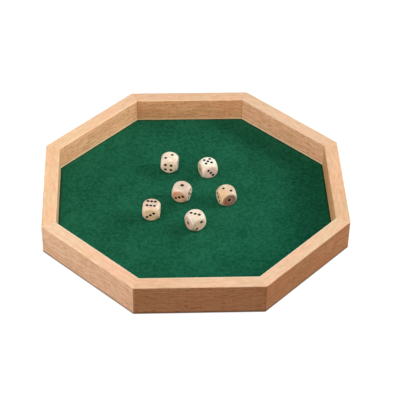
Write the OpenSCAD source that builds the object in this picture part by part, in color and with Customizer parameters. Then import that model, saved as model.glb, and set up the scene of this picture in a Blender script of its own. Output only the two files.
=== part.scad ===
// Octagonal beech dice tray: eight mitred rails, a floor panel held in their
// groove, a felt lining, and six ball-cut wooden dice that lie loose on the felt.
// Millimetres. +Z is up, the origin is under the middle of the tray, and the
// front rail faces -Y.

/* [Rails] */
// Width of the tray across two opposite outer faces
tray_flats = 280; // [230:1:360]
// Thickness of a rail
rail_w = 13; // [11:0.5:18]
// Height of a rail
rail_h = 31; // [26:0.5:45]
// Radius that eases the long edges of a rail
edge_r = 0.8; // [0.4:0.1:1.5]
// Radius that eases the upright arris of a mitred corner
corner_r = 2.5; // [0.5:0.1:4]

/* [Floor] */
// Height of the floor panel's underside above the table
panel_z = 2.5; // [2:0.5:6]
// Thickness of the floor panel
panel_t = 4; // [3:0.5:6]
// Depth of the groove in the rails
groove_depth = 5; // [3:0.5:7]
// Room above the panel in its groove
groove_slack = 0.2; // [0.1:0.05:0.4]
// Room between the panel's edge and the bottom of the groove
panel_gap = 0.4; // [0.2:0.1:1]
// Thickness of the felt
felt_t = 1; // [0.6:0.1:2]
// Room between the felt's cut edge and the rails
felt_gap = 0.2; // [0.1:0.1:1]

/* [Dice] */
// Distance between two opposite faces of a die
die_side = 16; // [14:0.5:20]
// Diameter of the round flat that is left on each face
die_flat_d = 12.9; // [12:0.1:13.6]
// Diameter of a pip
pip_d = 2.9; // [2:0.1:3.1]
// Diameter of the single pip
ace_d = 3.5; // [2.4:0.1:3.8]
// Depth to which a pip is drilled
pip_depth = 0.7; // [0.5:0.1:1.2]
// Thickness of the paint in a pip
paint_t = 0.3; // [0.2:0.1:0.4]
// Room between the paint and the pip's wall
paint_gap = 0.03; // [0.02:0.01:0.1]
// Distance along a side between the corner pips of the two, three, four and five
pip_square = 5.5; // [4.8:0.1:5.8]
// Distance between neighbouring pips in a row of the six
six_pitch = 3.4; // [3.2:0.1:3.6]
// Distance between the two rows of the six
six_rows = 6; // [5:0.1:6.2]

/* [Hidden] */
$fn = 64;
sides = 8;
half_turn = 180 / sides;
cut = 1; // how far a cutter runs past the face that it cuts

tray_r = tray_flats / 2;
inside_flats = tray_flats - 2 * rail_w;
panel_flats = inside_flats + 2 * (groove_depth - panel_gap);
felt_flats = inside_flats - 2 * felt_gap;
felt_z = panel_z + panel_t;
felt_top = felt_z + felt_t;

die_ball_d = norm([die_side, die_flat_d]);
pip_half = pip_square / 2;

beech = "#e2b88c";
plywood = "#d9bf96";
felt_green = "#195b40";
die_wood = "#ecdcc3";
pip_black = "#20140e";

// The rails in turn, seen from above against the clock
RAILS = [
    "rail_front", "rail_front_right", "rail_right", "rail_back_right",
    "rail_back", "rail_back_left", "rail_left", "rail_front_left"
];

// Where each die came to lie on the felt: [x, y]
DIE_PLACES = [[-21.7, 49], [14.6, 40.2], [-11.4, 5.1], [30.3, -0.7], [-40.3, -19.8], [-0.1, -35.2]];
// Angle through which each die is turned on the felt
DIE_ANGLES = [-11, 18, -22, 20, -8, 30];
// Counts of pips that each die shows: [on top, in front]
PIP_COUNTS = [[2, 4], [5, 3], [1, 3], [2, 1], [6, 3], [3, 2]];
// Angles by which the pips of those two faces are drilled askew
PIP_ANGLES = [[1, -1], [-1, -8], [0, -16], [0, 0], [-1, -8], [-5, 7]];
// How far the pips of those two faces are drilled off the middle: [x, y] each
PIP_SLIPS = [
    [[0.7, 0.7], [0.2, 0]],
    [[0, -0.2], [-0.1, 0.2]],
    [[0.3, -0.2], [-0.3, -0.4]],
    [[1.1, 0.2], [-0.2, 0.3]],
    [[0.2, -0.2], [0, 0]],
    [[0.3, 0], [0.7, 0.3]]
];
dice = [for (i = [0 : len(DIE_PLACES) - 1]) i];

function die_name(i) = str("die_", i + 1);
function die_body_name(i) = str(die_name(i), "_body");
function die_pips_name(i) = str(die_name(i), "_pips");

// A regular octagon by the distance between opposite flats
module octagon(flats) {
    rotate(half_turn) circle(d = flats / cos(half_turn), $fn = sides);
}

// What a round of radius r takes off a square corner at the origin
module corner_round(r) {
    translate([-r, -r]) difference() {
        square(r + cut);
        circle(r);
    }
}

// Section of a rail: x runs outwards from the tray's middle, y upwards
module rail_section() {
    inner = tray_r - rail_w;
    difference() {
        translate([inner, 0]) square([rail_w, rail_h]);
        translate([tray_r, rail_h]) corner_round(edge_r);
        translate([tray_r, 0]) mirror([0, 1]) corner_round(edge_r);
        translate([inner, rail_h]) mirror([1, 0]) corner_round(edge_r);
        translate([inner, 0]) rotate(180) corner_round(edge_r);
        translate([inner - cut, panel_z]) square([groove_depth + cut, panel_t + groove_slack]);
    }
}

// The slice of the plan that one rail fills, with half of each eased corner
module rail_plan() {
    reach = tray_flats;
    middle_r = tray_r - corner_r;
    difference() {
        polygon([[0, 0], [reach * tan(half_turn), reach], [-reach * tan(half_turn), reach]]);
        for (end = [0, 1]) mirror([end, 0])
            translate([middle_r * tan(half_turn) + corner_r, tray_r]) corner_round(corner_r);
    }
}

// One mitred rail, made as the back one and turned to its side
module rail(side) {
    color(beech) rotate(180 + side * 360 / sides) intersection() {
        rotate([90, 0, 90]) linear_extrude(tray_flats, center = true) rail_section();
        linear_extrude(rail_h) rail_plan();
    }
}

module base_panel() {
    color(plywood) translate([0, 0, panel_z]) linear_extrude(panel_t) octagon(panel_flats);
}

module felt_lining() {
    color(felt_green) translate([0, 0, felt_z]) linear_extrude(felt_t) octagon(felt_flats);
}

// Turn that brings +Z out of the face with this value: 1, 2 and 3 lie on +X, +Y and +Z
function face_turn(value) = [
    [0, 90, 0], [-90, 0, 0], [0, 0, 0], [180, 0, 0], [90, 0, 0], [0, -90, 0]
][value - 1];

// Outward direction of the face with this value
function face_axis(value) =
    [for (axis = [1 : 3]) axis == value ? 1 : axis == 7 - value ? -1 : 0];

function four_corners() = [for (x = [-1, 1], y = [-1, 1]) [x, y] * pip_half];

// Places of the pips on a face, from its middle
function pip_places(value) =
    value == 1 ? [[0, 0]] :
    value == 2 ? [for (end = [-1, 1]) [end, end] * pip_half] :
    value == 3 ? [for (step = [-1 : 1]) [step, -step] * pip_half] :
    value == 4 ? four_corners() :
    value == 5 ? concat([[0, 0]], four_corners()) :
    [for (row = [-1, 1], step = [-1 : 1]) [row * six_rows / 2, step * six_pitch]];

function pip_size(value) = value == 1 ? ace_d : pip_d;

// What a table holds for a face of die i that shows, or else the plain value
function if_shown(i, value, table, plain) =
    value == PIP_COUNTS[i][0] ? table[i][0] :
    value == PIP_COUNTS[i][1] ? table[i][1] :
    plain;

// A round plug at the bottom of every pip of die i, at the origin
module every_pip(i, height, gap) {
    for (value = [1 : 6]) rotate(face_turn(value))
        translate(if_shown(i, value, PIP_SLIPS, [0, 0]))
            rotate(if_shown(i, value, PIP_ANGLES, 0))
                for (place = pip_places(value))
                    translate([place.x, place.y, die_side / 2 - pip_depth])
                        cylinder(d = pip_size(value) - 2 * gap, h = height);
}

// Turns die i at the origin to show its values, and sets it down on the felt
module lay_die(i) {
    up = face_axis(PIP_COUNTS[i][0]);
    back = -face_axis(PIP_COUNTS[i][1]);
    right = cross(back, up);
    translate([DIE_PLACES[i].x, DIE_PLACES[i].y, felt_top + die_side / 2])
        rotate(DIE_ANGLES[i])
            multmatrix([concat(right, 0), concat(back, 0), concat(up, 0), [0, 0, 0, 1]])
                children();
}

// A cube turned round by a ball, with its pips drilled
module die_body(i) {
    color(die_wood) lay_die(i) difference() {
        intersection() {
            cube(die_side, center = true);
            sphere(d = die_ball_d);
        }
        every_pip(i, pip_depth + cut, 0);
    }
}

module die_pips(i) {
    color(pip_black) lay_die(i) every_pip(i, paint_t, paint_gap);
}

for (side = [0 : sides - 1])
    rail(side);
base_panel();
felt_lining();
for (i = dice)
    die_body(i);
for (i = dice)
    die_pips(i);
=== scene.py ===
"""Looks of the octagonal dice tray: mitred beech rails, a green felt floor and six ball-cut dice."""
import math
import random
from collections import namedtuple

import bmesh
import bpy
from mathutils import Euler, Matrix, Vector, noise


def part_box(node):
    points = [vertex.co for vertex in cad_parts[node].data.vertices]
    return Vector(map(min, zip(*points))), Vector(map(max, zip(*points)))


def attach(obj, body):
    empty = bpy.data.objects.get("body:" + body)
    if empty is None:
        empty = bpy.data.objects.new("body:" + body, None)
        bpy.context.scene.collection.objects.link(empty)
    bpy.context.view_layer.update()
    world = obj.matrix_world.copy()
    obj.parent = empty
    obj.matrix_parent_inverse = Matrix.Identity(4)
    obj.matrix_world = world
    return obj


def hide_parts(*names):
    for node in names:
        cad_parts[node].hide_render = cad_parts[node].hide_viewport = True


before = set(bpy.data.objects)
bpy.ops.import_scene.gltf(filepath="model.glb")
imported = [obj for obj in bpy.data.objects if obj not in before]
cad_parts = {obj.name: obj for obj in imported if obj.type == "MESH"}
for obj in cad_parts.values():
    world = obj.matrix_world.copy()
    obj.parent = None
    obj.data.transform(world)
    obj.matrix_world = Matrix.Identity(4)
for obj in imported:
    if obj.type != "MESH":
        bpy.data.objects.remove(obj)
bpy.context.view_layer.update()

MM = 0.001
SIDES = 8
SIDE_TURN = 2 * math.pi / SIDES
HALF_TURN = SIDE_TURN / 2

# Faces of the rails and the felt, in millimetres from the tray's middle and from the table
rail_low, rail_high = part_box("rail_back")
felt_low, felt_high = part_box("felt_lining")
RAIL_H = rail_high.z / MM
INNER_FACE = rail_low.y / MM
OUTER_FACE = rail_high.y / MM
FELT_TOP = felt_high.z / MM
FELT_EDGE = felt_high.y / MM

# Camera, as fitted to the photograph's edges
LENS = 134.05
CAMERA_PLACE = (-0.04902, -1.06057, 0.92893)
CAMERA_FORWARD = (0.03892, 0.75501, -0.65455)
CAMERA_RIGHT = (0.99915, -0.0384, 0.01513)

# Soft studio light: lamps that look at the middle of the tray
Lamp = namedtuple("Lamp", "name place size watts tint")
LAMPS = [
    Lamp("overhead", (-0.1, -0.145, 0.43), (0.5, 0.25), 1.2, (1.06, 1.0, 0.94)),
    Lamp("front_top", (0.0, -0.4, 0.95), (0.6, 0.5), 1.4, (1.06, 1.0, 0.95)),
    Lamp("front", (0.0, -1.1, 0.35), (0.9, 0.6), 1.9, (1.45, 1.0, 0.75)),
    Lamp("right", (0.85, 0.11, 0.42), (0.35, 0.3), 6.2, (1.05, 1.0, 0.93)),
    Lamp("back_right", (0.65, 0.6, 0.6), (0.4, 0.4), 2.4, (0.8, 1.0, 1.25)),
    Lamp("left", (-0.9, -0.25, 0.25), (0.8, 0.45), 5.7, (1.0, 1.0, 1.0)),
]

# Floor: white to the eye, and a warm table top to the light that bounces off it. Its own glow is weaker
# near the tray (from the second distance to the first, in mm), so that the tray's shadow shows, and almost
# gone where the tray stands on it, which paints a contact shadow there, with an edge as soft as the
# contact (mm)
FLOOR_R = 4.0
FLOOR_SEGMENTS = 64
FLOOR_DROP = 0.05 * MM
FLOOR_BOUNCE = (0.19, 0.085, 0.036)
FLOOR_SHADE = 0.25
FLOOR_NEAR = (200, 600)
FLOOR_CONTACT = 0.8
FLOOR_CONTACT_SHADOW = (0.05, 0.04, 0.03)

# Beech boards: a seed for the figure, the slant of the growth rings in degrees, how strongly a highlight is
# painted on the arris of the inner top edge, and tints on the common colour for the sides and for the two
# ends of the top edge, of which the first is the one that comes first going round against the clock. These
# tints are partly the board's own tone and partly painted light and shade on each face
Board = namedtuple("Board", "node seed slant arris sides first_top last_top")
BOARDS = [
    Board("rail_front", 3, 38, 0.7, (0.615, 0.58, 0.54), (0.795, 0.855, 0.935), (0.845, 0.955, 1.095)),
    Board("rail_front_right", 8, 47, 0.6, (0.67, 0.575, 0.48), (0.86, 0.95, 1.1), (0.86, 0.975, 1.075)),
    Board("rail_right", 1, 52, 0.0, (0.84, 0.745, 0.615), (0.815, 0.85, 0.875), (0.9, 0.935, 0.975)),
    Board("rail_back_right", 5, 35, 0.15, (0.895, 0.865, 0.88), (0.915, 0.99, 1.115), (0.95, 1.105, 1.24)),
    Board("rail_back", 7, 41, 0.15, (0.945, 0.855, 0.765), (0.945, 1.0, 1.05), (0.99, 1.06, 1.13)),
    Board("rail_back_left", 2, 55, 0.15, (1.05, 1.04, 1.03), (1.08, 1.155, 1.275), (1.025, 1.125, 1.165)),
    Board("rail_left", 6, 44, 0.35, (0.85, 0.97, 0.965), (1.01, 1.065, 1.085), (0.925, 0.995, 1.03)),
    Board("rail_front_left", 4, 50, 0.7, (0.945, 1.04, 1.175), (0.91, 1.055, 1.18), (0.875, 0.89, 1.005)),
]
BEECH = (0.80, 0.51, 0.315)

# Tints on the beech: of its figure, painted highlights on the inner top arris and the outer corners, the
# glue line, a painted contact shadow along the bottom of the outer faces and a painted highlight just above
# the felt
EARLY_WOOD = (1.12, 1.19, 1.17)
EARLY_BLUSH = (1.2, 1.1, 1.1)
LATE_WOOD = (0.86, 0.77, 0.67)
RAY_FLECK = (0.62, 0.48, 0.38)
PAINTED_ARRIS_HIGHLIGHT = (1.12, 1.38, 1.5)
PAINTED_CORNER_HIGHLIGHT = (1.14, 1.2, 1.15)
GLUE_LINE = (0.55, 0.44, 0.36)
PAINTED_FOOT_SHADOW = (0.26, 0.28, 0.32)
PAINTED_SKIRT_HIGHLIGHT = (1.18, 1.5, 1.6)

# Beech figure in millimetres: how far each board lies from the next in one field of noise, how far from a
# board's middle the tints of its top's ends are full, the spacing of the growth rings, and how far they
# sway and ripple. The relief is the height of the grain
BOARD_SHIFT = (371, 53, 29)
HALF_BOARD = 55
RING_PITCH = 3.0
RING_SWAY = 11
RING_RIPPLE = 4.5
WOOD_RELIEF = 0.06 * MM

# Birch plywood and the tints of its figure
BIRCH = (0.72, 0.55, 0.35)
BIRCH_PALE = (1.06, 1.07, 1.1)
BIRCH_DARK = (0.82, 0.75, 0.66)
BIRCH_PORE = (0.6, 0.5, 0.4)

# Felt: the tints of its cloudy pile, of the painted shade towards its front right and of the painted shadow
# along its edge by the walls, the height of its relief, and how far to the front and right (mm, together)
# the painted shade is full
FELT_GREEN = (0.0108, 0.104, 0.054)
FELT_DARK = (0.45, 0.66, 0.62)
FELT_PALE = (1.55, 1.34, 1.38)
FELT_FRONT_RIGHT_SHADE = (0.7, 0.86, 0.87)
FELT_EDGE_SHADOW = (1.4, 0.28, 0.15)
FELT_RELIEF = 0.25 * MM
FRONT_RIGHT_REACH = 155

# Felt's mesh: points to a side of its rings, the distance between these, the round of its cut edge, and
# the depth of its unevenness with the widths of its slow and its fine waves
FELT_STEPS = 24
FELT_RING = 5 * MM
FELT_ROUND = 0.35 * MM
FELT_ROUND_STEPS = 3
FELT_UNEVEN = 0.12 * MM
FELT_SLOW = 30 * MM
FELT_FINE = 9 * MM

# Loose hairs on the felt: the ranges are the lowest and highest turns (radians) and scales of a hair
HAIRS_PER_M2 = 380000
HAIR_LENGTH = 1.7 * MM
HAIR_WIDTH = 0.05 * MM
HAIR_ARCH = 0.22 * MM
HAIR_POINTS = 4
HAIR_TURNS = ((-0.2, -0.35, 0.0), (0.2, 0.35, 2 * math.pi))
HAIR_SCALES = ((0.7, 0.5, 0.2), (1.3, 1.3, 1.5))
HAIR_DARK = (0.9, 0.9, 0.9)
HAIR_PALE = (1.4, 1.3, 1.35)
HAIR_SEED = 5

# Dice: their side, the width of their round flats, how softly these run into the ball, the cells of the
# mesh to a side, and the radius about a die's middle within which no hairs grow
DIE_SIDE = 16 * MM
DIE_FLAT = 12.9 * MM
DIE_SOFT = 1.2 * MM
DIE_CELLS = 48
DIE_CLEAR = 0.7 * DIE_FLAT

# Pips: their radius, that of the single pip, the share by which they vary, and their spacing on a face. A
# dimple's depth, the paint's reach and its dish are shares of the radius. Edges over the sharp angle stay
# crisp
PIP_R = 1.45 * MM
ACE_R = 1.75 * MM
PIP_JITTER = 0.05
PIP_SQUARE = 5.5 * MM
SIX_PITCH = 3.4 * MM
SIX_ROWS = 6.0 * MM
DIMPLE = 0.66
DRILL_SEGMENTS = 28
DRILL_RINGS = 16
SHARP = math.radians(32)
PAINT_COVER = 0.97
PAINT_DISH = 0.2
PAINT_SEGMENTS = 24
PAINT_RINGS = 12
PIP_BLACK = (0.014, 0.008, 0.006)
PIP_WORN = (2.2, 1.9, 1.7)

# Turns in degrees that bring +Z out of the face with each value
FACE_TURNS = {1: (0, 90, 0), 2: (-90, 0, 0), 3: (0, 0, 0), 4: (180, 0, 0), 5: (90, 0, 0), 6: (0, -90, 0)}

# Wood of the dice: tints of its figure, how far out (mm) the tint of a flat sets in and is full, the share
# of a spot's radius within which it is full, how ragged its edge is (mm), and the relief of wood and paint
DIE_PALE = (1.06, 1.07, 1.09)
DIE_DARK = (0.86, 0.78, 0.70)
DIE_CREAM = (0.98, 1.02, 1.0)
DIE_BLUSH = (1.02, 0.96, 0.97)
FLAT_FROM = 7.45
FLAT_TO = 7.95
SPOT_HEART = 0.3
SPOT_RAGGED = 2.5
FINE_RELIEF = 0.03 * MM

# How each die lies: its heading in degrees, the values on top and in front, and how far the pips of these
# two faces are drilled askew (degrees) and off the middle (mm). And its wood: the value whose axis the
# grain follows, where the pith lies across the grain (mm), the spacing of the rings (mm) and how strong
# they are, the colour, tints of single flats by their values, which are partly the cut of the grain and
# partly painted light and shade, and spots, which are partly stained wood and partly painted shade and
# light. A spot's place is to the right, back and up of the die's middle (mm)
Die = namedtuple("Die", "body heading top front askew slips grain pith ring strength wood flats stains")
Stain = namedtuple("Stain", "place radius tint")
# Spots at this place are painted shade on the front right top of each die
NEAR_RIGHT_CORNER = (5.7, -5.7, 5.7)
DICE = [
    Die(
        body="die_1", heading=-11, top=2, front=4, askew=(1, -1), slips=((0.7, 0.7), (0.2, 0)),
        grain=1, pith=(17, 9), ring=1.5, strength=0.35, wood=(0.79, 0.70, 0.595),
        flats={2: (1.07, 1.10, 1.05), 4: (1.22, 1.16, 1.10)},
        stains=[Stain(NEAR_RIGHT_CORNER, 5.5, (0.96, 0.88, 0.87))],
    ),
    Die(
        body="die_2", heading=18, top=5, front=3, askew=(-1, -8), slips=((0, -0.2), (-0.1, 0.2)),
        grain=1, pith=(-14, 12), ring=1.5, strength=0.3, wood=(0.81, 0.74, 0.62),
        flats={5: (1.01, 1.12, 1.2), 3: (1.19, 1.03, 1.13), 1: (0.70, 0.635, 0.515)},
        stains=[Stain(NEAR_RIGHT_CORNER, 5.5, (0.9, 0.97, 0.97))],
    ),
    Die(
        body="die_3", heading=-22, top=1, front=3, askew=(0, -16), slips=((0.3, -0.2), (-0.3, -0.4)),
        grain=3, pith=(12, -13), ring=1.7, strength=0.5, wood=(0.76, 0.675, 0.585),
        flats={1: (0.905, 0.87, 0.84), 3: (1.03, 0.69, 0.535)},
        stains=[
            Stain((-4.5, -8, 3), 4, (0.95, 0.78, 0.68)), Stain((8, -2, 0), 4.5, (0.85, 0.7, 0.55)),
            Stain(NEAR_RIGHT_CORNER, 5.5, (0.91, 0.86, 0.88)), Stain((0, -8, -5.5), 5, (1.1, 1.22, 1.3)),
        ],
    ),
    Die(
        body="die_4", heading=20, top=2, front=1, askew=(0, 0), slips=((1.1, 0.2), (-0.2, 0.3)),
        grain=1, pith=(1.0, 0.0), ring=5.6, strength=0.8, wood=(0.73, 0.645, 0.495),
        flats={2: (1.0, 0.925, 0.925), 1: (0.68, 0.53, 0.60)},
        stains=[
            Stain((0, -8, 0), 8, (0.66, 0.67, 0.59)), Stain((0, -8, 0), 4.6, (1.6, 1.6, 1.7)),
            Stain((-2.8, -8, -2.8), 5, (1.2, 0.74, 0.76)), Stain((-6, -4, 3), 10, (1.16, 0.97, 0.78)),
            Stain(NEAR_RIGHT_CORNER, 5.5, (0.93, 0.95, 0.98)),
        ],
    ),
    Die(
        body="die_5", heading=-8, top=6, front=3, askew=(-1, -8), slips=((0.2, -0.2), (0, 0)),
        grain=2, pith=(-16, -10), ring=1.6, strength=0.4, wood=(0.795, 0.65, 0.49),
        flats={6: (0.835, 0.815, 0.89), 3: (1.21, 1.15, 1.06)}, stains=[],
    ),
    Die(
        body="die_6", heading=30, top=3, front=2, askew=(-5, 7), slips=((0.3, 0), (0.7, 0.3)),
        grain=1, pith=(15, 14), ring=1.5, strength=0.35, wood=(0.74, 0.705, 0.595),
        flats={3: (1.03, 0.96, 0.945), 2: (1.3, 1.13, 1.10), 1: (1.0, 0.76, 0.755)}, stains=[],
    ),
]


class Wire:
    """A socket of a node tree, which joins other values through Python's operators."""

    def __init__(self, tree, socket=None):
        self.tree = tree
        self.socket = socket

    def make(self, kind, settings=None, sockets=None, output=0):
        """Adds a node with its settings and its sockets' values or links, and gives one of its outputs."""
        node = self.tree.nodes.new(kind)
        for name, value in (settings or {}).items():
            setattr(node, name, value)
        for key, value in (sockets or {}).items():
            if isinstance(value, Wire):
                self.tree.links.new(value.socket, node.inputs[key])
            else:
                node.inputs[key].default_value = value
        return Wire(self.tree, node.outputs[output]) if node.outputs else None

    def math(self, operation, *values):
        return self.make("ShaderNodeMath", {"operation": operation}, dict(enumerate(values)))

    def __add__(self, other):
        return self.math("ADD", self, other)

    def __radd__(self, other):
        return self.math("ADD", other, self)

    def __sub__(self, other):
        return self.math("SUBTRACT", self, other)

    def __rsub__(self, other):
        return self.math("SUBTRACT", other, self)

    def __mul__(self, other):
        return self.math("MULTIPLY", self, other)

    def __rmul__(self, other):
        return self.math("MULTIPLY", other, self)

    def __truediv__(self, other):
        return self.math("DIVIDE", self, other)

    def __rtruediv__(self, other):
        return self.math("DIVIDE", other, self)

    def __abs__(self):
        return self.math("ABSOLUTE", self)

    def root(self):
        return self.math("SQRT", self)

    def fraction(self):
        return self.math("FRACT", self)

    def larger(self, other):
        return self.math("MAXIMUM", self, other)

    def above(self, level):
        """1 where this value is above a level, and 0 elsewhere."""
        return self.math("GREATER_THAN", self, level)

    def smooth(self, low, high):
        """A smooth step from 0 at low to 1 at high; low may be the greater of the two."""
        sockets = {"Value": self, "From Min": low, "From Max": high}
        return self.make("ShaderNodeMapRange", {"interpolation_type": "SMOOTHSTEP"}, sockets)

    def between(self, low, high):
        """A value that runs from low to high as this one runs from 0 to 1."""
        return low + self * (high - low)

    def vector(self, operation, *values, output=0):
        settings = {"operation": operation}
        return self.make("ShaderNodeVectorMath", settings, dict(enumerate(values)), output)

    def scaled(self, *factors):
        """This vector with each axis multiplied by its own factor."""
        return self.vector("MULTIPLY", self, factors)

    def stretched(self, factor):
        """This vector multiplied by one value."""
        return self.make("ShaderNodeVectorMath", {"operation": "SCALE"}, {"Vector": self, "Scale": factor})

    def moved(self, *offset):
        return self.vector("ADD", self, offset)

    def length(self):
        return self.vector("LENGTH", self, output="Value")

    def distance(self, point):
        return self.vector("DISTANCE", self, point, output="Value")

    def reach(self, direction):
        """How far this vector goes in a direction."""
        return self.vector("DOT_PRODUCT", self, direction, output="Value")

    def axes(self):
        """The x, y and z of this vector."""
        first = self.make("ShaderNodeSeparateXYZ", None, {0: self})
        return [Wire(self.tree, socket) for socket in first.socket.node.outputs]

    def joined(self, x, y, z):
        """A vector from three values."""
        return self.make("ShaderNodeCombineXYZ", None, {0: x, 1: y, 2: z})

    def noise(self, sizes, detail=2.0, roughness=0.5):
        """Noise about 0 over this place, with features of these sizes along x, y and z."""
        place = self.scaled(*[1 / size for size in sizes])
        sockets = {"Vector": place, "Scale": 1.0, "Detail": detail, "Roughness": roughness}
        return self.make("ShaderNodeTexNoise", None, sockets) - 0.5

    def cells(self, sizes, output="Distance"):
        """Distance to the nearest of points scattered at these spacings, or its own random colour."""
        place = self.scaled(*[1 / size for size in sizes])
        return self.make("ShaderNodeTexVoronoi", None, {"Vector": place, "Scale": 1.0}, output)

    def blend(self, first, second):
        """Mixes two colours by this factor."""
        settings = {"data_type": "RGBA"}
        return self.make("ShaderNodeMix", settings, {0: self, 6: colour(first), 7: colour(second)}, 2)

    def tinted(self, tint):
        """This colour multiplied by another."""
        settings = {"data_type": "RGBA", "blend_type": "MULTIPLY"}
        return self.make("ShaderNodeMix", settings, {0: 1.0, 6: self, 7: colour(tint)}, 2)

    def bump(self, distance, strength):
        """A normal from this height, of which 1 stands for the distance in metres."""
        sockets = {"Height": self, "Distance": distance, "Strength": strength}
        return self.make("ShaderNodeBump", None, sockets)


def colour(value):
    """A colour with its alpha, or a wire as it is."""
    return value if isinstance(value, Wire) else (*value, 1.0)


def times(first, second):
    """Two colours multiplied channel by channel."""
    return tuple(a * b for a, b in zip(first, second))


def even(size):
    """The same size along x, y and z."""
    return (size, size, size)


def new_material(name):
    """A material with no nodes, and a wire to start them from."""
    material = bpy.data.materials.new(name)
    material.use_nodes = True
    material.node_tree.nodes.clear()
    return material, Wire(material.node_tree)


def end_material(wire, sockets):
    """Ends a material in a shader with these sockets."""
    shader = wire.make("ShaderNodeBsdfPrincipled", None, sockets)
    wire.make("ShaderNodeOutputMaterial", None, {"Surface": shader})


def in_mm(wire, rotation=(0, 0, 0), location=(0, 0, 0)):
    """Object coordinates in millimetres, seen from a frame at that place and turn."""
    place = wire.make("ShaderNodeTexCoord", None, None, "Object")
    sockets = {"Vector": place, "Location": location, "Rotation": rotation, "Scale": even(MM)}
    return wire.make("ShaderNodeMapping", {"vector_type": "TEXTURE"}, sockets)


def octagon_reach(place):
    """Half the width across flats of the octagon about the tray's middle that a place lies on."""
    x, y = place.axes()[:2]
    straight = abs(x).larger(abs(y))
    slanted = (abs(x) + abs(y)) * math.sqrt(0.5)
    return straight.larger(slanted)


def dashes(grain, length, height):
    """Scattered short dashes along x, of about that length and height, some stronger than others."""
    sizes = (length, 2 * height, height)
    luck = grain.cells(sizes, "Color").axes()[0]
    return grain.cells(sizes).smooth(0.42, 0.16) * luck.smooth(0.3, 0.85)


def beech(board, side):
    """Steamed beech with an oiled finish: x runs along the board, y outwards and z up."""
    material, wire = new_material("beech_" + board.node)
    place = in_mm(wire, rotation=(0, 0, math.pi + side * SIDE_TURN))
    grain = place.moved(*[board.seed * shift for shift in BOARD_SHIFT])
    along, outward, up = place.axes()
    on_top = up.smooth(RAIL_H - 0.9, RAIL_H - 0.2)

    # Growth rings cross the section at a slant and sway along the board
    slant = math.radians(board.slant)
    across = outward * math.cos(slant) + up * math.sin(slant)
    sway = grain.noise((60, 26, 15)) * RING_SWAY + grain.noise((11, 7, 4)) * RING_RIPPLE
    ring = ((across + sway) / RING_PITCH).fraction()
    late = ring.smooth(0.0, 0.8) * ring.smooth(1.0, 0.8)

    # The finer figure: fibres, streaks, patches of shade and a pink blush
    fibre = grain.noise((9, 0.4, 0.4), detail=4.0, roughness=0.65)
    streak = grain.noise((9, 2.6, 1.8), detail=3.0, roughness=0.6)
    patch = grain.noise((70, 28, 20))
    blush = grain.moved(91, 17, 53).noise((26, 12, 10))

    # Ray flecks: short dark dashes along the grain, the long ones in crowds, which show on the sides
    crowd = grain.moved(17, 5, 7).noise((40, 20, 14)).smooth(-0.25, 0.2)
    long_flecks = dashes(grain, 7.0, 2.2) * crowd
    short_flecks = dashes(grain.moved(7, 3, 5), 4.0, 1.4) * 0.8
    fleck = long_flecks.larger(short_flecks) * on_top.between(1.0, 0.05)

    shade = late * on_top.between(0.45, 0.12) + fibre * 0.4
    shade = shade + streak * on_top.between(1.8, 1.3) + patch * on_top.between(0.9, 0.45)
    early = blush.smooth(-0.2, 0.2).blend(EARLY_WOOD, EARLY_BLUSH)
    wood = shade.smooth(-0.53, 0.82).blend(early, LATE_WOOD)
    wood = fleck.blend(wood, RAY_FLECK)

    # Painted highlights: the arris of the inner top edge and the outer corners are painted pale as if they
    # caught the light
    mitre = outward * math.sin(HALF_TURN) - abs(along) * math.cos(HALF_TURN)
    arris = outward.smooth(INNER_FACE + 1.9, INNER_FACE + 0.9) * up.smooth(RAIL_H - 1.3, RAIL_H - 0.5)
    wood = (arris * board.arris).blend(wood, PAINTED_ARRIS_HIGHLIGHT)
    corner = mitre.smooth(1.6, 0.6) * outward.smooth(OUTER_FACE - 1.0, OUTER_FACE - 0.3)
    wood = (corner * 0.4).blend(wood, PAINTED_CORNER_HIGHLIGHT)

    # The glue line of the mitres, a painted contact shadow along the bottom of the outer faces, and a
    # painted highlight in a pale line above the felt
    glue = mitre.smooth(0.6, 0.15) * on_top.between(0.4, 0.04)
    wood = glue.blend(wood, GLUE_LINE)
    # Painted contact shadow: the outer faces darken towards the bottom
    foot_shadow = up.smooth(2.9, 0.8) * outward.smooth(OUTER_FACE - 2.0, OUTER_FACE - 1.0) * 0.75
    wood = foot_shadow.blend(wood, PAINTED_FOOT_SHADOW)
    # Painted highlight: a pale line on the inner face just above the felt
    above_felt = up.smooth(FELT_TOP + 1.7, FELT_TOP + 1.0) * up.smooth(FELT_TOP - 1.0, FELT_TOP)
    skirt_highlight = above_felt * outward.smooth(INNER_FACE + 1.0, INNER_FACE + 0.3) * 0.9
    wood = skirt_highlight.blend(wood, PAINTED_SKIRT_HIGHLIGHT)

    # The board's tints: partly its own tone and partly painted light and shade on its sides and on the two
    # ends of its top
    to_first_end = along.smooth(-HALF_BOARD, HALF_BOARD)
    top = to_first_end.blend(times(BEECH, board.last_top), times(BEECH, board.first_top))
    wood = wood.tinted(on_top.blend(times(BEECH, board.sides), top))

    height = fibre * 0.6 + streak * 0.5 - fleck * 0.6
    end_material(wire, {
        "Base Color": wood,
        "Roughness": 0.5 + fibre * 0.25,
        "Specular IOR Level": 0.06,
        "Normal": height.bump(WOOD_RELIEF, 0.6),
    })
    return material


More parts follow.
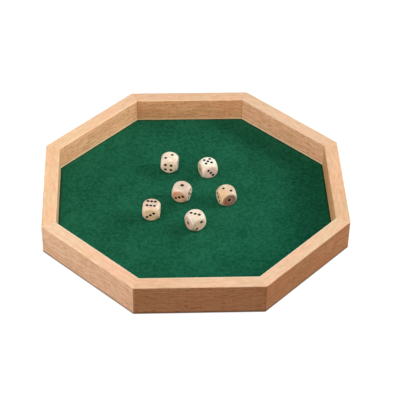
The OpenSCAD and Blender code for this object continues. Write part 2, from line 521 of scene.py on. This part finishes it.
def birch_ply():
    """Sanded birch veneer, with its grain along x."""
    material, wire = new_material("birch_ply")
    grain = in_mm(wire)
    sway = grain.noise((160, 35, 20))
    band = grain.make("ShaderNodeTexWave", {"bands_direction": "Y"}, {
        "Vector": grain.scaled(1 / 130, 1 / 55, 1 / 10),
        "Scale": 0.9,
        "Distortion": 7.0,
        "Detail": 2.0,
    }, "Fac")
    fibre = grain.noise((22, 0.5, 0.5), detail=4.0, roughness=0.6)
    pore = grain.cells((6, 0.6, 0.6)).smooth(0.25, 0.1)
    shade = (band * 0.25 + sway * 1.1 + fibre * 0.9).smooth(-0.35, 0.65)
    wood = shade.blend(times(BIRCH, BIRCH_PALE), times(BIRCH, BIRCH_DARK))
    wood = (pore * 0.35).blend(wood, times(BIRCH, BIRCH_PORE))
    end_material(wire, {
        "Base Color": wood,
        "Roughness": 0.6 + fibre * 0.2,
        "Specular IOR Level": 0.3,
        "Normal": fibre.bump(WOOD_RELIEF, 0.5),
    })
    return material


def green_felt():
    """Pressed wool felt: cloudy, with fine hairs all ways, and a painted shadow along its edge by the
    walls.
    """
    material, wire = new_material("green_felt")
    place = in_mm(wire)
    cloud = place.noise(even(3.4), detail=3.0, roughness=0.7)
    drift = place.noise(even(24))
    hair = place.noise(even(0.4), detail=3.0, roughness=0.7)
    shade = (cloud * 2.4 + drift * 0.9 + hair).smooth(-0.7, 0.7)
    green = shade.blend(times(FELT_GREEN, FELT_DARK), times(FELT_GREEN, FELT_PALE))

    # Painted shade darker towards the front right, and a painted shadow along the edge where the felt meets
    # the walls
    x, y = place.axes()[:2]
    # Painted shade: the felt darkens towards the front right
    front_right = (x - y).smooth(0, FRONT_RIGHT_REACH)
    green = front_right.blend(green, green.tinted(FELT_FRONT_RIGHT_SHADE))
    edge = octagon_reach(place).smooth(FELT_EDGE - 2.2, FELT_EDGE - 0.6)
    green = (edge * 0.85).blend(green, times(FELT_GREEN, FELT_EDGE_SHADOW))

    height = hair * 0.6 + cloud * 0.8
    end_material(wire, {
        "Base Color": green,
        "Roughness": 0.95,
        "Specular IOR Level": 0.02,
        "Normal": height.bump(FELT_RELIEF, 0.5),
    })
    return material


def felt_hair():
    """The single hairs that stand off the felt."""
    material, wire = new_material("felt_hair")
    tone = in_mm(wire).noise(even(2)).smooth(-0.25, 0.25)
    green = tone.blend(times(FELT_GREEN, HAIR_DARK), times(FELT_GREEN, HAIR_PALE))
    end_material(wire, {"Base Color": green, "Roughness": 0.9, "Specular IOR Level": 0.05})
    return material


def die_wood(die, centre, turn):
    """Pale waxed hardwood with rings about the pith, and flats tinted one by one, partly for another cut of
    the grain and partly as painted light and shade.
    """
    material, wire = new_material("wood_of_" + die.body)
    body = in_mm(wire, turn.to_euler(), centre)
    grain_up = Vector((0, 0, 1)).rotation_difference(face_axis(die.grain)).to_matrix()
    place = in_mm(wire, (turn @ grain_up).to_euler(), centre)
    wobble = place.noise((7, 7, 16)) * 1.6
    radius = place.scaled(1, 1, 0).distance((*die.pith, 0)) + wobble
    ring = (radius / die.ring).fraction()
    late = ring.smooth(0.2, 0.85) * ring.smooth(1.0, 0.9)
    fibre = place.noise((0.3, 0.3, 7), detail=4.0, roughness=0.6)
    patch = place.noise((6, 6, 12))

    shade = (die.strength * late + fibre * 0.8 + patch * 1.2).smooth(-0.3, 0.7)
    wood = shade.blend(times(die.wood, DIE_PALE), times(die.wood, DIE_DARK))
    blush = body.moved(40, 9, 23).noise(even(3)).smooth(-0.15, 0.15)
    wood = wood.tinted(blush.blend(DIE_CREAM, DIE_BLUSH))
    # Tints of single flats: partly the cut of the grain, partly painted light and shade on that face
    for value, tint in die.flats.items():
        on_flat = body.reach(face_axis(value)).smooth(FLAT_FROM, FLAT_TO)
        wood = on_flat.blend(wood, wood.tinted(tint))
    lying = in_mm(wire, (0, 0, math.radians(die.heading)), centre)
    # Spots: partly stained wood, partly painted shade and light
    for spot in die.stains:
        away = lying.distance(spot.place) + patch * SPOT_RAGGED
        on_spot = away.smooth(spot.radius, spot.radius * SPOT_HEART)
        wood = on_spot.blend(wood, wood.tinted(spot.tint))
    end_material(wire, {
        "Base Color": wood,
        "Roughness": 0.42 + fibre * 0.2,
        "Specular IOR Level": 0.4,
        "Normal": (fibre * 0.7 - late * 0.4).bump(FINE_RELIEF, 0.5),
    })
    return material


def pip_paint():
    """Near-black paint that has shrunk a little into each pip."""
    material, wire = new_material("pip_paint")
    grit = in_mm(wire).noise(even(0.5), detail=3.0, roughness=0.6)
    black = grit.smooth(-0.2, 0.25).blend(PIP_BLACK, times(PIP_BLACK, PIP_WORN))
    end_material(wire, {
        "Base Color": black,
        "Roughness": 0.6 + grit * 0.3,
        "Specular IOR Level": 0.06,
        "Normal": grit.bump(FINE_RELIEF, 0.6),
    })
    return material


def seen_directly(wire):
    """1 for the rays that show the background: from the camera, off a gloss or through glass."""
    rays = ("Is Camera Ray", "Is Glossy Ray", "Is Transmission Ray")
    camera, glossy, glass = [wire.make("ShaderNodeLightPath", output=ray) for ray in rays]
    return camera.larger(glossy).larger(glass)


def white_floor():
    """White to the eye with the tray's soft shadow and a painted contact shadow under its edge, and a warm
    table top to bounced light.
    """
    material, wire = new_material("white_floor")
    place = in_mm(wire)
    near = place.length().smooth(FLOOR_NEAR[1], FLOOR_NEAR[0])
    pale = near.blend(even(1.0), even(1.0 - FLOOR_SHADE / 2))
    # Painted contact shadow: dark where the tray stands on the floor
    under = octagon_reach(place).smooth(OUTER_FACE + FLOOR_CONTACT, OUTER_FACE - FLOOR_CONTACT)
    pale = under.blend(pale, FLOOR_CONTACT_SHADOW)
    glow = wire.make("ShaderNodeEmission", None, {"Color": pale, "Strength": 1.0})
    lit = wire.make("ShaderNodeBsdfDiffuse", None, {"Color": colour(even(FLOOR_SHADE))})
    white = wire.make("ShaderNodeAddShader", None, {0: glow, 1: lit})
    table = wire.make("ShaderNodeBsdfDiffuse", None, {"Color": colour(FLOOR_BOUNCE)})
    floor = wire.make("ShaderNodeMixShader", None, {0: seen_directly(wire), 1: table, 2: white})
    wire.make("ShaderNodeOutputMaterial", None, {"Surface": floor})
    return material


def new_tree(name, inputs):
    """A Geometry Nodes tree with a mesh and these named inputs: gives it and a wire for each input."""
    tree = bpy.data.node_groups.new(name, "GeometryNodeTree")
    tree.interface.new_socket("Mesh", in_out="INPUT", socket_type="NodeSocketGeometry")
    tree.interface.new_socket("Mesh", in_out="OUTPUT", socket_type="NodeSocketGeometry")
    for label, kind in inputs.items():
        tree.interface.new_socket(label, in_out="INPUT", socket_type="NodeSocket" + kind)
    group = tree.nodes.new("NodeGroupInput")
    return tree, {socket.name: Wire(tree, socket) for socket in group.outputs if socket.name}


def end_tree(wire, material):
    """Ends a tree: instances are made real and the material is set."""
    real = wire.make("GeometryNodeRealizeInstances", None, {"Geometry": wire})
    dressed = wire.make("GeometryNodeSetMaterial", None, {"Geometry": real, "Material": material})
    wire.make("NodeGroupOutput", None, {0: dressed})


def attribute(wire, name, kind):
    return wire.make("GeometryNodeInputNamedAttribute", {"data_type": kind}, {"Name": name}, "Attribute")


def new_object(name, data):
    obj = bpy.data.objects.new(name, data)
    bpy.context.collection.objects.link(obj)
    return obj


def grow(name, source, tree, values):
    """Runs a tree on a source mesh, and gives its result as a plain mesh object."""
    obj = new_object(name, source)
    modifier = obj.modifiers.new(tree.name, "NODES")
    modifier.node_group = tree
    for item in tree.interface.items_tree:
        if item.in_out == "INPUT" and item.name in values:
            modifier[item.identifier] = values[item.name]
    evaluated = obj.evaluated_get(bpy.context.evaluated_depsgraph_get())
    mesh = bpy.data.meshes.new_from_object(evaluated)
    obj.modifiers.remove(modifier)
    obj.data = mesh
    mesh.name = name
    return obj


def drill_radius(dimple):
    """Radius of the ball that cuts a dimple of this depth and of radius 1."""
    return (1 + dimple * dimple) / (2 * dimple)


def at_pips(wire, points, shape, size):
    """A copy of a shape at each pip point, turned outwards and scaled."""
    outward = attribute(wire, "outward", "FLOAT_VECTOR")
    return wire.make("GeometryNodeInstanceOnPoints", None, {
        "Points": points,
        "Instance": shape,
        "Rotation": wire.make("FunctionNodeAlignRotationToVector", {"axis": "Z"}, {"Vector": outward}),
        "Scale": wire.joined(size, size, size),
    })


def die_tree():
    """A cube turned down by a ball, with a round dimple cut at each pip point of the source mesh."""
    tree, put = new_tree("ball_cut_die", {
        "Side": "Float", "Flat": "Float", "Soft": "Float", "Cells": "Int", "Dimple": "Float",
        "Wood": "Material",
    })
    side, dimple = put["Side"], put["Dimple"]
    half = side / 2
    count = put["Cells"] + 1
    size = side.joined(side, side, side)
    cube = side.make("GeometryNodeMeshCube", None, {0: size, 1: count, 2: count, 3: count})

    # Each point of the cube goes out to its face or to the ball, whichever is nearer
    place = side.make("GeometryNodeInputPosition")
    out = place.vector("NORMALIZE", place)
    x, y, z = place.vector("ABSOLUTE", out).axes()
    to_face = half / x.larger(y).larger(z)
    flat = put["Flat"] / 2
    ball = (half * half + flat * flat).root()
    turned = out.stretched(ball.math("SMOOTH_MIN", to_face, ball, put["Soft"]))
    block = side.make("GeometryNodeSetPosition", None, {"Geometry": cube, "Position": turned})

    radius = attribute(side, "pip_r", "FLOAT")
    drill_r = drill_radius(dimple)
    lift = attribute(side, "outward", "FLOAT_VECTOR").stretched(radius * (drill_r - dimple))
    points = side.make("GeometryNodeSetPosition", None, {"Geometry": put["Mesh"], "Offset": lift})
    drill = side.make("GeometryNodeMeshUVSphere", None, {
        "Segments": DRILL_SEGMENTS, "Rings": DRILL_RINGS, "Radius": 1.0,
    })
    drills = at_pips(side, points, drill, radius * drill_r)
    drills = side.make("GeometryNodeRealizeInstances", None, {"Geometry": drills})
    cut = side.make("GeometryNodeMeshBoolean", {"operation": "DIFFERENCE", "solver": "EXACT"}, {
        "Mesh 1": block, "Mesh 2": drills,
    })
    cut = side.make("GeometryNodeSetShadeSmooth", {"domain": "FACE"}, {0: cut, 2: True})
    crisp = side.make("GeometryNodeInputMeshEdgeAngle").above(SHARP)
    cut = side.make("GeometryNodeSetShadeSmooth", {"domain": "EDGE"}, {0: cut, 1: crisp, 2: False})
    end_tree(cut, put["Wood"])
    return tree


def paint_tree():
    """A lens of paint in each dimple: round below like the dimple, and a little dished on top."""
    tree, put = new_tree("pip_paint", {
        "Dimple": "Float", "Cover": "Float", "Dish": "Float", "Paint": "Material",
    })
    dimple, cover = put["Dimple"], put["Cover"]
    ball = dimple.make("GeometryNodeMeshUVSphere", None, {
        "Segments": PAINT_SEGMENTS, "Rings": PAINT_RINGS, "Radius": 1.0,
    })
    x, y, z = dimple.make("GeometryNodeInputPosition").axes()
    share = x * x + y * y
    drill_r = drill_radius(dimple)
    middle = drill_r - dimple
    below = middle - (drill_r * drill_r - share * cover * cover).root()
    rim = middle - (drill_r * drill_r - cover * cover).root()
    above = rim - (1 - share) * put["Dish"]
    height = below + (above - below) * z.above(0.001)
    lens = dimple.make("GeometryNodeSetPosition", None, {
        "Geometry": ball, "Position": dimple.joined(x * cover, y * cover, height),
    })
    lens = dimple.make("GeometryNodeSetShadeSmooth", {"domain": "FACE"}, {0: lens, 2: True})
    lenses = at_pips(dimple, put["Mesh"], lens, attribute(dimple, "pip_r", "FLOAT"))
    end_tree(lenses, put["Paint"])
    return tree


def hair_tree():
    """Short arched hairs scattered over the faces of the source mesh."""
    tree, put = new_tree("felt_hairs", {
        "Density": "Float", "Length": "Float", "Width": "Float", "Arch": "Float", "Seed": "Int",
        "Hair": "Material",
    })
    length, seed = put["Length"], put["Seed"]
    strip = length.make("GeometryNodeMeshGrid", None, {
        "Size X": put["Width"], "Size Y": length, "Vertices X": 2, "Vertices Y": HAIR_POINTS,
    })
    x, y = length.make("GeometryNodeInputPosition").axes()[:2]
    along = y / length * 2
    strip = length.make("GeometryNodeSetPosition", None, {
        "Geometry": strip, "Position": length.joined(x, y, (1 - along * along) * put["Arch"]),
    })
    points = length.make("GeometryNodeDistributePointsOnFaces", None, {
        "Mesh": put["Mesh"],
        "Density": put["Density"] * attribute(length, "open", "FLOAT"),
        "Seed": seed,
    })
    spread = {"data_type": "FLOAT_VECTOR"}
    turn = length.make("FunctionNodeRandomValue", spread, {
        0: HAIR_TURNS[0], 1: HAIR_TURNS[1], "Seed": seed,
    })
    scale = length.make("FunctionNodeRandomValue", spread, {
        0: HAIR_SCALES[0], 1: HAIR_SCALES[1], "Seed": seed + 1,
    })
    hairs = length.make("GeometryNodeInstanceOnPoints", None, {
        "Points": points,
        "Instance": strip,
        "Rotation": length.make("FunctionNodeEulerToRotation", None, {0: turn}),
        "Scale": scale,
    })
    end_tree(hairs, put["Hair"])
    return tree


def face_axis(value):
    """The outward direction of the face with this value: 1, 2 and 3 lie on +X, +Y and +Z."""
    axis = Vector((0, 0, 0))
    if value > 3:
        axis[6 - value] = -1
    else:
        axis[value - 1] = 1
    return axis


def pip_places(value):
    """Places of the pips on a face, from its middle."""
    half = PIP_SQUARE / 2
    corners = [(x * half, y * half) for x in (-1, 1) for y in (-1, 1)]
    return {
        1: [(0, 0)],
        2: [(-half, -half), (half, half)],
        3: [(-half, half), (0, 0), (half, -half)],
        4: corners,
        5: [(0, 0)] + corners,
        6: [(row * SIX_ROWS / 2, step * SIX_PITCH) for row in (-1, 1) for step in (-1, 0, 1)],
    }[value]


def pip_points(die, seed):
    """A mesh of the 21 pip points of a die at the origin, each with its outward direction and radius."""
    draw = random.Random(seed)
    askew = dict(zip((die.top, die.front), die.askew))
    slips = dict(zip((die.top, die.front), die.slips))
    places, outward, radii = [], [], []
    for value, angles in FACE_TURNS.items():
        turn = Euler([math.radians(angle) for angle in angles]).to_matrix()
        skew = Matrix.Rotation(math.radians(askew.get(value, 0)), 3, "Z")
        slip = Vector((*slips.get(value, (0, 0)), 0)) * MM
        radius = ACE_R if value == 1 else PIP_R
        for x, y in pip_places(value):
            places.append(turn @ (skew @ Vector((x, y, DIE_SIDE / 2)) + slip))
            outward.extend(turn @ Vector((0, 0, 1)))
            radii.append(radius * draw.uniform(1 - PIP_JITTER, 1 + PIP_JITTER))
    mesh = bpy.data.meshes.new(die.body + "_points")
    mesh.from_pydata(places, [], [])
    mesh.attributes.new("outward", "FLOAT_VECTOR", "POINT").data.foreach_set("vector", outward)
    mesh.attributes.new("pip_r", "FLOAT", "POINT").data.foreach_set("value", radii)
    return mesh


def die_turn(die):
    """The turn that lays a die with its values on top and in front, at its heading."""
    up = face_axis(die.top)
    back = -face_axis(die.front)
    lie = Matrix((back.cross(up), back, up))
    return Matrix.Rotation(math.radians(die.heading), 3, "Z") @ lie


def middle_of(node):
    low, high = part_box(node)
    return (low + high) / 2


def make_dice():
    """The six dice and the paint in their pips, each on its own body."""
    block, paint = die_tree(), paint_tree()
    black = pip_paint()
    for number, die in enumerate(DICE):
        centre = middle_of(die.body + "_body")
        turn = die_turn(die)
        lie = Matrix.Translation(centre) @ turn.to_4x4()
        points = pip_points(die, number)
        body = grow(die.body + "_wood", points, block, {
            "Side": DIE_SIDE,
            "Flat": DIE_FLAT,
            "Soft": DIE_SOFT,
            "Cells": DIE_CELLS,
            "Dimple": DIMPLE,
            "Wood": die_wood(die, centre, turn),
        })
        pips = grow(die.body + "_paint", points, paint, {
            "Dimple": DIMPLE, "Cover": PAINT_COVER, "Dish": PAINT_DISH, "Paint": black,
        })
        for piece, node, slot in ((body, "_body", "die_wood"), (pips, "_pips", "pip_paint")):
            piece.data.transform(lie)
            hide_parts(die.body + node)
            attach(piece, die.body)


def octagon_ring(flats, z):
    """Points of an octagon by its width across flats, in turn."""
    corners = []
    for side in range(SIDES + 1):
        angle = side * SIDE_TURN + HALF_TURN
        corners.append(Vector((math.cos(angle), math.sin(angle), 0)) * (flats / 2 / math.cos(HALF_TURN)))
    ring = []
    for first, second in zip(corners, corners[1:]):
        for step in range(FELT_STEPS):
            ring.append(first.lerp(second, step / FELT_STEPS) + Vector((0, 0, z)))
    return ring


def felt_sag(point):
    """How far the felt lies below its full height at a point."""
    slow = noise.noise(Vector((point.x, point.y, 0)) / FELT_SLOW)
    fine = noise.noise(Vector((point.x, point.y, 1)) / FELT_FINE)
    return FELT_UNEVEN * min(1.0, max(0.0, 0.5 + 0.45 * slow + 0.25 * fine))


def felt_rings(flats, low_z, high_z):
    """Rings of points for the felt: those of its underside and cut edge, and those of its top."""
    under = [octagon_ring(FELT_RING, low_z), octagon_ring(flats, low_z)]
    edge = [octagon_ring(flats, high_z - FELT_ROUND)]
    for step in range(1, FELT_ROUND_STEPS):
        angle = step / FELT_ROUND_STEPS * math.pi / 2
        inset = FELT_ROUND * (1 - math.cos(angle))
        edge.append(octagon_ring(flats - 2 * inset, high_z - FELT_ROUND * (1 - math.sin(angle))))
    ring_count = int(flats / 2 / FELT_RING)
    insets = [FELT_ROUND] + [(step + 0.5) * FELT_RING for step in range(ring_count)]
    top = [octagon_ring(flats - 2 * inset, high_z) for inset in insets]
    for ring in top:
        for point in ring:
            point.z -= felt_sag(point)
    return under + edge, top


def ring_form(rings):
    """A form of the bands between rings of points, and the rings of its vertices."""
    form = bmesh.new()
    loops = [[form.verts.new(point) for point in ring] for ring in rings]
    for lower, upper in zip(loops, loops[1:]):
        for i in range(len(lower)):
            j = (i + 1) % len(lower)
            form.faces.new((lower[i], lower[j], upper[j], upper[i]))
    return form, loops


def mesh_of(form, name):
    """A mesh of a form, which is used up."""
    mesh = bpy.data.meshes.new(name)
    form.to_mesh(mesh)
    form.free()
    return mesh


def felt_mesh(edge, top):
    """The closed sheet of felt through its rings."""
    form, loops = ring_form(edge + top)
    form.faces.new(loops[-1])
    form.faces.new(list(reversed(loops[0])))
    bmesh.ops.recalc_face_normals(form, faces=form.faces)
    mesh = mesh_of(form, "felt")
    mesh.shade_smooth()
    return mesh


def nap_mesh(top):
    """The felt's top alone, marked as open where no die lies."""
    form = ring_form(top)[0]
    form.normal_update()
    mesh = mesh_of(form, "felt_top")
    dice = [middle_of(die.body + "_body").xy for die in DICE]
    is_open = [float(min((v.co.xy - die).length for die in dice) > DIE_CLEAR) for v in mesh.vertices]
    mesh.attributes.new("open", "FLOAT", "POINT").data.foreach_set("value", is_open)
    return mesh


def make_felt():
    """The felt lining: a sheet laid on the floor panel, with a soft cut edge and hairs."""
    flats = felt_high.y - felt_low.y
    edge, top = felt_rings(flats, felt_low.z, felt_high.z)
    felt = new_object("felt", felt_mesh(edge, top))
    felt.data.materials.append(green_felt())
    hairs = grow("felt_hairs", nap_mesh(top), hair_tree(), {
        "Density": HAIRS_PER_M2,
        "Length": HAIR_LENGTH,
        "Width": HAIR_WIDTH,
        "Arch": HAIR_ARCH,
        "Seed": HAIR_SEED,
        "Hair": felt_hair(),
    })
    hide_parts("felt_lining")
    for piece in (felt, hairs):
        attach(piece, "tray")


def dress(node, material):
    """Gives a CAD node one material through its slots."""
    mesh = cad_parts[node].data
    mesh.materials.clear()
    mesh.materials.append(material)


def make_camera():
    data = bpy.data.cameras.new("camera")
    data.lens = LENS
    camera = new_object("camera", data)
    forward = Vector(CAMERA_FORWARD).normalized()
    right = Vector(CAMERA_RIGHT).normalized()
    turn = Matrix((right, right.cross(forward), -forward)).transposed().to_4x4()
    camera.matrix_world = Matrix.Translation(CAMERA_PLACE) @ turn
    bpy.context.scene.camera = camera


def make_lamps():
    for lamp in LAMPS:
        data = bpy.data.lights.new(lamp.name, "AREA")
        data.shape = "RECTANGLE"
        data.size, data.size_y = lamp.size
        data.energy = lamp.watts
        data.color = lamp.tint
        obj = new_object(lamp.name, data)
        obj.location = lamp.place
        obj.rotation_euler = (-Vector(lamp.place)).to_track_quat("-Z", "Y").to_euler()
        obj.visible_camera = False


def make_world():
    """White behind the tray and in its reflections, with no other light on it."""
    world = bpy.data.worlds.new("studio")
    bpy.context.scene.world = world
    world.use_nodes = True
    world.node_tree.nodes.clear()
    wire = Wire(world.node_tree)
    sky = wire.make("ShaderNodeBackground", None, {
        "Color": colour(even(1.0)), "Strength": seen_directly(wire),
    })
    wire.make("ShaderNodeOutputWorld", None, {"Surface": sky})


def make_floor():
    form = bmesh.new()
    under = Matrix.Translation((0, 0, -FLOOR_DROP))
    bmesh.ops.create_circle(form, cap_ends=True, radius=FLOOR_R, segments=FLOOR_SEGMENTS, matrix=under)
    floor = new_object("floor", mesh_of(form, "floor"))
    floor.data.materials.append(white_floor())


make_camera()
make_lamps()
make_world()
make_floor()
for side, board in enumerate(BOARDS):
    dress(board.node, beech(board, side))
dress("base_panel", birch_ply())
make_felt()
make_dice()

bpy.context.scene.view_settings.view_transform = "Standard"
